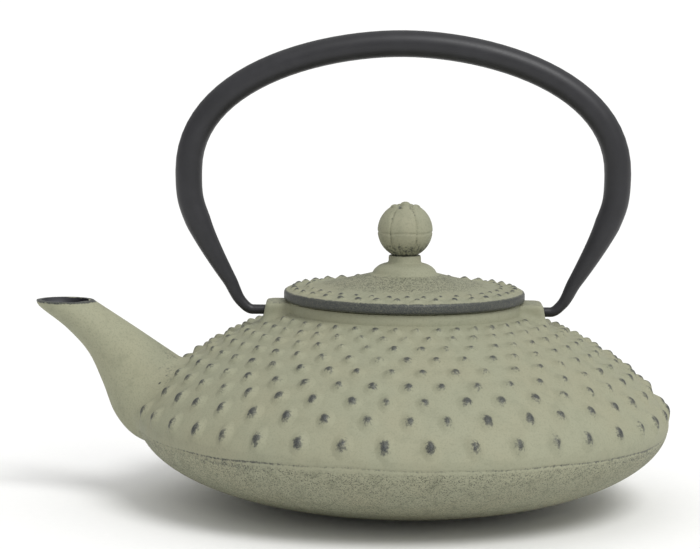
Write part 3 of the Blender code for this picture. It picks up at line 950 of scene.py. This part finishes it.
def run_tree(piece, tree, name, **given):
    """Runs a geometry tree on a piece and keeps the result as a plain mesh."""
    step = piece.modifiers.new("tree", "NODES")
    step.node_group = tree
    for socket in tree.interface.items_tree:
        label = socket.name.lower().replace(" ", "_")
        if socket.in_out == "INPUT" and label in given:
            step[socket.identifier] = given[label]
    return baked(piece, name)


def joined(name, pieces):
    """Several shapes as one plain mesh without materials."""
    whole = bmesh.new()
    for piece in pieces:
        whole.from_mesh(piece.data)
    mesh = bpy.data.meshes.new(name)
    whole.to_mesh(mesh)
    whole.free()
    return add_object(name, mesh)


print("studs_in_rings has", len(studs_in_rings.interface.items_tree), "sockets")

# %% Set the studs on the shoulder
RING_RADII = [49.9, 55.8, 62.1, 68.6, 75.2, 82.0, 88.4, 95.1, 101.8]
POT_STUDS_PER_RING = 40
rings = []
for k, radius in enumerate(RING_RADII):
    share = k / (len(RING_RADII) - 1)
    width = (3.6 + 1.1 * share) * MM
    length = width * (1.0 + 0.42 * max(0.0, share - 0.5) / 0.5)
    height = (1.8 + 0.5 * share) * MM
    phase = 0.0 if k % 2 else 0.5
    rings.append((radius * MM, width, length, height, phase, 0.95 + 0.3 * share ** 2))
neighbours = joined("spout_and_lugs", [spout, *lugs])
ring_starts = ring_points("ring_points", rings, lambda r: shoulder_z(r, BELLY_R, SHOULDER_RISE))
pot_studs = run_tree(ring_starts, studs_in_rings, "shoulder_studs",
                     studs_per_ring=POT_STUDS_PER_RING, stud=stud, surface=pot,
                     neighbour=neighbours, clearance=2.0 * MM, unevenness=1.0, seed=7,
                     finish=sage_enamel)
print("stud points:", len(pot_studs.data.vertices), "faces:", len(pot_studs.data.polygons))

# %% [markdown]
# ## The lid
# The lid is turned: a thick edge, a hollow-curved top, a stepped dome and a collar for the knob.
# Two rings of smaller studs run inside its edge, and the middle is coarse and rubbed.

# %% Turn the lid
LID_EDGE_TOP = 84.0 * MM
LID_RISE = 6.6 * MM
DOME_R = 12.7 * MM
LID_R = lid_high.x
LID_BOTTOM = 80.0 * MM
SKIRT_R = 35.4 * MM
SKIRT_INNER_R = 32.4 * MM
SKIRT_CHAMFER_Z = 73.8 * MM
LID_THICKNESS = 3.4 * MM
KNOB_SEAT_Z = 86.3 * MM
BOLT_HOLE_R = 2.5 * MM


def lid_top_z(r):
    return LID_EDGE_TOP + LID_RISE * max(0.0, (LID_R - r) / (LID_R - DOME_R)) ** 1.4


top = [(BOLT_HOLE_R, lid_high.z), (5.7 * MM, lid_high.z), (6.15 * MM, lid_high.z - 0.2 * MM),
       (6.3 * MM, lid_high.z - 0.7 * MM)]
# The collar's foot and the stepped dome, in mm.
top += [(r * MM, z * MM) for r, z in (
    (6.35, 95.4), (6.6, 94.85), (7.3, 94.55), (8.6, 94.2), (9.8, 93.7), (10.9, 92.95),
    (11.7, 92.2), (12.2, 91.5), (12.45, 90.95), (12.9, 90.6))]
top += [(r, lid_top_z(r)) for r in np.linspace(13.6 * MM, LID_R - 1.3 * MM, 46)]
edge = [(LID_R - inset * MM, LID_EDGE_TOP - drop * MM) for inset, drop in (
    (0.8, 0.05), (0.25, 0.4), (0.0, 1.0))]
edge += [(LID_R - inset * MM, LID_BOTTOM + rise * MM) for inset, rise in (
    (0.0, 0.9), (0.3, 0.3), (0.9, 0.0))]
under = [(SKIRT_R, LID_BOTTOM), (SKIRT_R, SKIRT_CHAMFER_Z), (SKIRT_R - 0.5 * MM, lid_low.z),
         (SKIRT_INNER_R + 0.5 * MM, lid_low.z), (SKIRT_INNER_R, SKIRT_CHAMFER_Z)]
under += [(r, lid_top_z(r) - LID_THICKNESS) for r in np.linspace(SKIRT_INNER_R, 14.0 * MM, 10)]
under += [(9.0 * MM, KNOB_SEAT_Z), (BOLT_HOLE_R, KNOB_SEAT_Z)]
lid = lathe("lid_casting", even_steps(top + edge + under, 1.5 * MM), 192,
            sage_enamel, black_glaze, closed=True)
smooth_by_angle(lid, CAST_CORNER)
for face in lid.data.polygons:
    middle = face.center
    hidden = math.hypot(middle.x, middle.y) < LID_R - 2 * MM and face.normal.z < 0.3
    face.material_index = int(hidden and middle.z < 89 * MM)
print("lid faces:", len(lid.data.polygons))

# %% Paint the lid and set its studs
LID_STUDS_PER_RING = 36
# (radius, half width, half length, height) in mm, then phase and mark.
LID_RINGS = [(43.0, 3.5, 3.0, 1.5, 0.5, 1.35), (37.6, 2.9, 2.6, 1.0, 0.0, 1.2)]

p = points_of(lid.data)
reach, z = around(p)[1] / MM, p[:, 2] / MM
# The edge is rubbed to dark iron. At its very top it keeps a quarter less of the dark, a painted
# highlight along the top of the edge.
edge_wear_and_highlight = ramp(reach, 45.7, 46.4) * (1.0 - 0.25 * ramp(z, 83.5, 84.0))
middle_zone = ramp(reach, 13.0, 14.5) * ramp(-reach, -36.0, -26.0) * ramp(z, 80.0, 85.0)
collar_foot = bell(reach, 13.0, 0.7) * 0.25 * (z > 88)
seat = bell(z, lid_high.z / MM, 0.3) * (reach > 4.0) * 0.6
paint(lid, "wear", np.maximum.reduce([edge_wear_and_highlight, 0.3 * middle_zone, collar_foot, seat]))
paint(lid, "grain", 0.2 + 0.8 * middle_zone)

rings = [(*[size * MM for size in row[:4]], *row[4:]) for row in LID_RINGS]
lid_studs = run_tree(ring_points("lid_ring_points", rings, lid_top_z), studs_in_rings, "lid_studs",
                     studs_per_ring=LID_STUDS_PER_RING, stud=stud, surface=lid,
                     neighbour=neighbours, clearance=0.5 * MM, unevenness=1.0, seed=3,
                     finish=sage_enamel)
print("lid stud faces:", len(lid_studs.data.polygons))

# %% [markdown]
# ## The ball knob
# The knob is a ball cut like a melon: a groove round it just under the middle, grooves from pole to
# pole, and a flower on top. A fine ball is made by the lathe, and its points are then moved along
# their radius by a sum of grooves and petals, which keeps the mesh even.

# %% Turn the knob
BALL_R = knob_high.x
BALL_Z = 107.4 * MM
FLOWER_TOP = 117.45 * MM
FLOWER_R = 5.9 * MM
BUD_R = 2.5 * MM
SEAT_Z = knob_low.z
SEAT_R = 4.0 * MM
SCREW_HOLE_R = 2.3 * MM
SCREW_HOLE_END = 108.4 * MM

bud = [(r * MM, knob_high.z - drop * MM) for r, drop in (
    (0.0, 0.0), (0.7, 0.06), (1.35, 0.3), (1.85, 0.8))]
flower_outline = [(r * MM, FLOWER_TOP - drop * MM) for r, drop in (
    (2.15, 0.5), (2.45, 0.85), (2.9, 0.45), (3.5, 0.1), (4.3, 0.0), (5.0, 0.15), (5.5, 0.45),
    (5.85, 0.9))]
ball_start = math.acos(FLOWER_R / BALL_R)
ball_end = math.asin((SEAT_Z - BALL_Z) / BALL_R)
ball = [(BALL_R * math.cos(t), BALL_Z + BALL_R * math.sin(t))
        for t in np.linspace(ball_start, ball_end, 54)]
screw_hole = [(SEAT_R, SEAT_Z), (SCREW_HOLE_R, SEAT_Z), (SCREW_HOLE_R, SCREW_HOLE_END),
              (0.0, SCREW_HOLE_END)]
knob = lathe("ball_knob", bud + flower_outline + ball + screw_hole, 144, sage_enamel)
print("knob is", round(2 * BALL_R / MM, 1), "mm across")

# %% Carve its grooves and petals
SEGMENT = math.radians(60.0)
GROOVE_TURN = math.radians(64.5)
GROOVE_WIDTH = 0.42 * MM
WAIST_WIDTH = 0.3 * MM
WAIST_DROP = 0.06
PETALS = 7

p = points_of(knob.data)
turn = around(p)[0]
rel = p - np.array([0.0, 0.0, BALL_Z])
size = np.linalg.norm(rel, axis=1)
rise = np.arcsin(np.clip(rel[:, 2] / size, -1, 1))
on_ball = (size > BALL_R * 0.985) & (size < BALL_R * 1.001)
on_ball &= (rise < ball_start - 0.02) & (rise > ball_end + 0.02)
segment = (turn + GROOVE_TURN) / SEGMENT
off_line = np.abs(segment - np.round(segment)) * SEGMENT * np.cos(rise) * BALL_R
off_line = off_line + 0.12 * MM * np.sin(9 * rise + 3 * turn)
groove = np.exp(-(off_line / GROOVE_WIDTH) ** 2)
waist = np.exp(-((rise + WAIST_DROP + 0.02 * np.sin(5 * turn)) * BALL_R / WAIST_WIDTH) ** 2)
ripple = 0.05 * np.sin(9 * turn) * np.sin(6 * rise)
depth = (0.5 * groove + 0.28 * waist + ripple) * MM * on_ball
p = p - rel / size[:, None] * np.maximum(depth, 0.0)[:, None]
reach = np.hypot(p[:, 0], p[:, 1])
flower = (p[:, 2] > FLOWER_TOP - 1.5 * MM) & (reach > BUD_R) & (size < BALL_R * 1.2) & ~on_ball
petal = 0.5 + 0.5 * np.cos(PETALS * (turn + math.pi / 2))
pull = (1.0 - petal) ** 2 * ramp(reach / MM, 2.5, 4.4) * flower
p[:, :2] *= (1.0 - 0.1 * pull)[:, None]
p[:, 2] -= 0.6 * MM * pull
put_points(knob.data, p)
smooth_by_angle(knob, TURNED_CORNER)
# The lower half of the ball is painted darker towards the bottom with the dark iron colour: painted
# shade, with real dark streaks in it. It also takes more grain. The grooves, the waist line and the
# slits between the petals are painted dark as well.
low = ramp(-rise, 0.1, 0.8)
streak = 0.5 + 0.3 * np.sin(23 * turn + 1.5 * rise) + 0.2 * np.sin(41 * turn + 2.0)
lines = (0.46 * groove + 0.3 * waist) * on_ball
on_petals = (0.18 + 0.4 * pull) * flower
paint(knob, "wear", np.maximum(lines, low * (0.32 + 0.36 * streak)) + on_petals)
paint(knob, "grain", 0.25 + 0.5 * low)
print("knob faces:", len(knob.data.polygons))

# %% [markdown]
# ## The handle
# The handle is one drawn rod, forged thin at its ends and bent into hooks that pass through the
# lugs. A Bezier curve carries the rod's radius at each of its points, so the taper and the bends
# are one shape. Only half of the handle is written down, and the other half is its mirror image.

# %% Bend the handle
HANDLE_SHIFT = -1.0
# Half of the handle: (x, z, rod radius, heading in degrees, reach in, reach out), in mm.
HANDLE_POINTS = [
    (0.0, 179.9, 5.25, 0.0, 33.5, 33.5),
    (83.4, 130.1, 5.25, 90.0, 35.8, 10.4),
    (79.7, 110.3, 5.0, 112.2, 8.0, 7.0),
    (67.6, 87.8, 2.8, 121.5, 8.0, 4.0),
    (62.3, 78.5, 2.1, 134.0, 3.5, 1.8),
    (58.0, 75.8, 1.9, 180.0, 1.8, 3.0),
    (47.3, 75.8, 1.85, 180.0, 3.0, 3.0),
]
curve = bpy.data.curves.new("handle_rod", "CURVE")
curve.dimensions = "3D"
curve.resolution_u = 24
curve.bevel_depth = 1.0
curve.bevel_resolution = 7
curve.use_fill_caps = True
rows = [(-x, z, r, -heading, after, before)
        for x, z, r, heading, before, after in HANDLE_POINTS[:0:-1]] + HANDLE_POINTS
spline = curve.splines.new("BEZIER")
spline.bezier_points.add(len(rows) - 1)
for point, (x, z, radius, heading, before, after) in zip(spline.bezier_points, rows):
    angle = math.radians(heading)
    ahead = Vector((math.cos(angle), 0.0, -math.sin(angle)))
    place = Vector((x + HANDLE_SHIFT, 0.0, z)) * MM
    point.handle_left_type = point.handle_right_type = "FREE"
    point.co = place
    point.handle_left = place - ahead * before * MM
    point.handle_right = place + ahead * after * MM
    point.radius = radius * MM
handle = baked(add_object("handle_rod", curve), "handle_bail")
handle.data.materials.clear()
handle.data.materials.append(handle_lacquer)
smooth_by_angle(handle, TURNED_CORNER)
print("handle faces:", len(handle.data.polygons))

# %% [markdown]
# ## The infuser basket
# The basket is thin stainless sheet with round holes punched through. A pattern of black dots in
# the finish would be quicker, but light and tea pass through real holes. A geometry tree punches
# them: a small cylinder stands on each hole's point, along the way the hole faces, and one Boolean
# takes them all out.
# The wall and the floor use the same tree with other points. The rim and the hoop are turned, and
# the lid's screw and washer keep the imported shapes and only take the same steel.

# %% The punching tree
def punch_tree():
    tree, g, given = new_tree("punched_sheet", [
        ("Geometry", "NodeSocketGeometry"), ("Holes", "NodeSocketObject"),
        ("Hole Radius", "NodeSocketFloat"), ("Punch Length", "NodeSocketFloat"),
        ("Hole Sides", "NodeSocketInt"), ("Finish", "NodeSocketMaterial")])
    points = g.node("GeometryNodeMeshToPoints", {}, {"Mesh": shape_of(g, given["Holes"])})
    punch = g.node("GeometryNodeMeshCylinder", {}, {
        "Vertices": given["Hole Sides"], "Radius": given["Hole Radius"],
        "Depth": given["Punch Length"]})
    facing = g.node("FunctionNodeAlignRotationToVector", {"axis": "Z"},
                    {"Vector": attribute(g, "facing", "FLOAT_VECTOR")})
    stood = g.node("GeometryNodeInstanceOnPoints", {},
                   {"Points": points, "Instance": punch, "Rotation": facing})
    tools = g.node("GeometryNodeRealizeInstances", {}, {"Geometry": stood})
    punched = g.node("GeometryNodeMeshBoolean", {"operation": "DIFFERENCE", "solver": "MANIFOLD"},
                     {"Mesh 1": given["Geometry"], "Mesh 2": tools})
    done = g.node("GeometryNodeSetMaterial", {},
                  {"Geometry": punched, "Material": given["Finish"]})
    g.node("NodeGroupOutput", {}, {"Geometry": done})
    return tree


punched_sheet = punch_tree()
print("nodes in punched_sheet:", len(punched_sheet.nodes))

# %% Punch a sheet, starting with the wall
HOLE_R = 0.62 * MM
PUNCH_LENGTH = 3 * MM
HOLE_SIDES = 10
SHEET = 0.5 * MM
BASKET_SIDES = 160


def punched(sheet, name, places, facings):
    """The sheet with a hole at each place, bored along that place's facing."""
    holes = loose_points(name + "_holes", places, {"facing": facings}, "FLOAT_VECTOR", "vector")
    made = run_tree(sheet, punched_sheet, name, holes=holes, hole_radius=HOLE_R,
                    punch_length=PUNCH_LENGTH, hole_sides=HOLE_SIDES, finish=basket_steel)
    bpy.data.objects.remove(holes, do_unlink=True)
    print(name, "holes:", len(places), "faces:", len(made.data.polygons))
    return made


HOLES_PER_ROW = 84
ROW_STEP = 2.5 * MM
wall_low, wall_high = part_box("infuser_wall")
BASKET_R = wall_high.x
wall_sheet = lathe("wall_sheet", [
    (BASKET_R, wall_high.z), (BASKET_R, wall_low.z), (BASKET_R - SHEET, wall_low.z),
    (BASKET_R - SHEET, wall_high.z)], BASKET_SIDES, closed=True)
places, facings = [], []
for row, z in enumerate(np.arange(wall_low.z + 9.6 * MM, wall_high.z - 9.5 * MM, ROW_STEP)):
    for column in range(HOLES_PER_ROW):
        turn = 2.0 * math.pi * (column + 0.5 * (row % 2)) / HOLES_PER_ROW
        places.append((BASKET_R * math.cos(turn), BASKET_R * math.sin(turn), z))
        facings.append((math.cos(turn), math.sin(turn), 0.0))
basket_wall = punched(wall_sheet, "basket_wall", places, facings)

# %% Punch the floor in rings of 6, 12, 18 and so on
FLOOR_RINGS = 10
RING_STEP = 3 * MM
floor_low, floor_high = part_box("infuser_floor")
floor_sheet = lathe("floor_sheet", [
    (0.0, floor_high.z), (BASKET_R, floor_high.z), (BASKET_R, floor_low.z), (0.0, floor_low.z)], 96)
places = [(0.0, 0.0, floor_low.z)]
for ring in range(1, FLOOR_RINGS + 1):
    radius = ring * RING_STEP
    places += [(radius * math.cos(t), radius * math.sin(t), floor_low.z)
               for t in even_turns(6 * ring)]
basket_floor = punched(floor_sheet, "basket_floor", places, [(0.0, 0.0, 1.0)] * len(places))

# %% The basket's rim and hoop
LIP_R = 33.0 * MM
rim_low, rim_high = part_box("infuser_rim")
hoop_low, hoop_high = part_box("infuser_hoop")
hoop_in = BASKET_R + 0.3 * MM
hoop_out = hoop_in + SHEET
flange_top = rim_high.z
flange_under = flange_top - 0.8 * MM
basket_rim = lathe("basket_rim", [
    (BASKET_R - SHEET, flange_top), (rim_high.x - 0.3 * MM, flange_top),
    (rim_high.x, flange_top - 0.25 * MM), (rim_high.x, flange_top - 0.6 * MM),
    (rim_high.x - 0.2 * MM, flange_under), (hoop_out + 0.2 * MM, flange_under),
    (hoop_out, flange_top - 1.1 * MM), (hoop_out, rim_low.z), (hoop_in, rim_low.z),
    (hoop_in, flange_under), (BASKET_R - SHEET, flange_under)],
    BASKET_SIDES, basket_steel, closed=True)
basket_hoop = lathe("basket_hoop", [
    (hoop_in, hoop_high.z), (hoop_out, hoop_high.z), (hoop_out, hoop_low.z + 0.4 * MM),
    (hoop_out - 0.3 * MM, hoop_low.z), (LIP_R, hoop_low.z), (LIP_R, hoop_low.z + SHEET),
    (hoop_in, hoop_low.z + SHEET)], BASKET_SIDES, basket_steel, closed=True)
for piece in (basket_wall, basket_floor, basket_rim, basket_hoop):
    smooth_by_angle(piece, SHEET_CORNER)
for name in ("knob_screw", "knob_washer"):
    for place in frame["nodes"][name].material_slots:
        place.material = basket_steel
print("rim and hoop faces:", len(basket_rim.data.polygons), len(basket_hoop.data.polygons))

# %% [markdown]
# ## Tell the frame what rides on what
# The tools that shaped the pieces go first. Then each piece rides on its body, and the imported
# part that it stands for is hidden.

# %% Clear the tools, ride and replace
for tool in (spout, *lugs, cavity, channel, *drills, stud, neighbours):
    bpy.data.objects.remove(tool, do_unlink=True)
for piece, body, nodes, slot in (
        (pot, "pot", ["pot_body"], "green_iron"),
        (pot_studs, "pot", [], "green_iron"),
        (handle, "handle", ["handle"], "black_steel"),
        (lid, "lid", ["lid"], "green_iron"),
        (lid_studs, "lid", [], "green_iron"),
        (knob, "lid", ["knob"], "green_iron"),
        (basket_rim, "infuser", ["infuser_rim"], "bright_steel"),
        (basket_wall, "infuser", ["infuser_wall"], "bright_steel"),
        (basket_hoop, "infuser", ["infuser_hoop"], "bright_steel"),
        (basket_floor, "infuser", ["infuser_floor"], "bright_steel")):
    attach(piece, body)
    if nodes:
        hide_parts(*nodes)
print("pieces ride on their bodies")

# %% [markdown]
# ## Floor and light
# A pale floor runs on to the horizon. The world is white, and brighter on one side, above and to
# the right, so the studs are shaded even where no lamp reaches. A sun with a wide angle from the
# same side is the key light, and it leaves only a soft shadow.

# %% Floor, world and key light
FLOOR_HALF = 40.0
BRIGHT_SIDE = Vector((0.3, -0.25, 0.92)).normalized()
DIM_SKY = 0.6
SKY_GAIN = 0.5
KEY_ENERGY = 1.62
KEY_WIDTH = math.radians(28)
KEY_SIDE = Vector((0.42, -0.66, 0.95))

corners = [(x * FLOOR_HALF, y * FLOOR_HALF, 0.0) for x, y in ((-1, -1), (1, -1), (1, 1), (-1, 1))]
pale_floor, g, here = new_finish("pale_floor")
mottle = g.noise(here, 3 * MM)
g.surface({
    "Base Color": g.mix(mottle, srgb(245, 245, 244), srgb(249, 249, 248)),
    "Roughness": 0.85})
floor = new_piece("floor", corners, [(0, 1, 2, 3)], pale_floor)

world = bpy.data.worlds.new("white_world")
world.use_nodes = True
world.node_tree.nodes.clear()
g = Graph(world.node_tree)
bright = dot(g, g.node("ShaderNodeTexCoord", output="Generated"), tuple(BRIGHT_SIDE))
strength = DIM_SKY + SKY_GAIN * g.smooth(bright, -0.2, 0.95)
sky = g.node("ShaderNodeBackground", {}, {"Strength": strength})
g.node("ShaderNodeOutputWorld", {}, {"Surface": sky})
bpy.context.scene.world = world
bpy.context.scene.view_settings.view_transform = "Standard"

sun = bpy.data.lights.new("key", "SUN")
sun.energy = KEY_ENERGY
sun.angle = KEY_WIDTH
key = add_object("key", sun)
key.rotation_euler = KEY_SIDE.to_track_quat("Z", "Y").to_euler()
print("stage set")
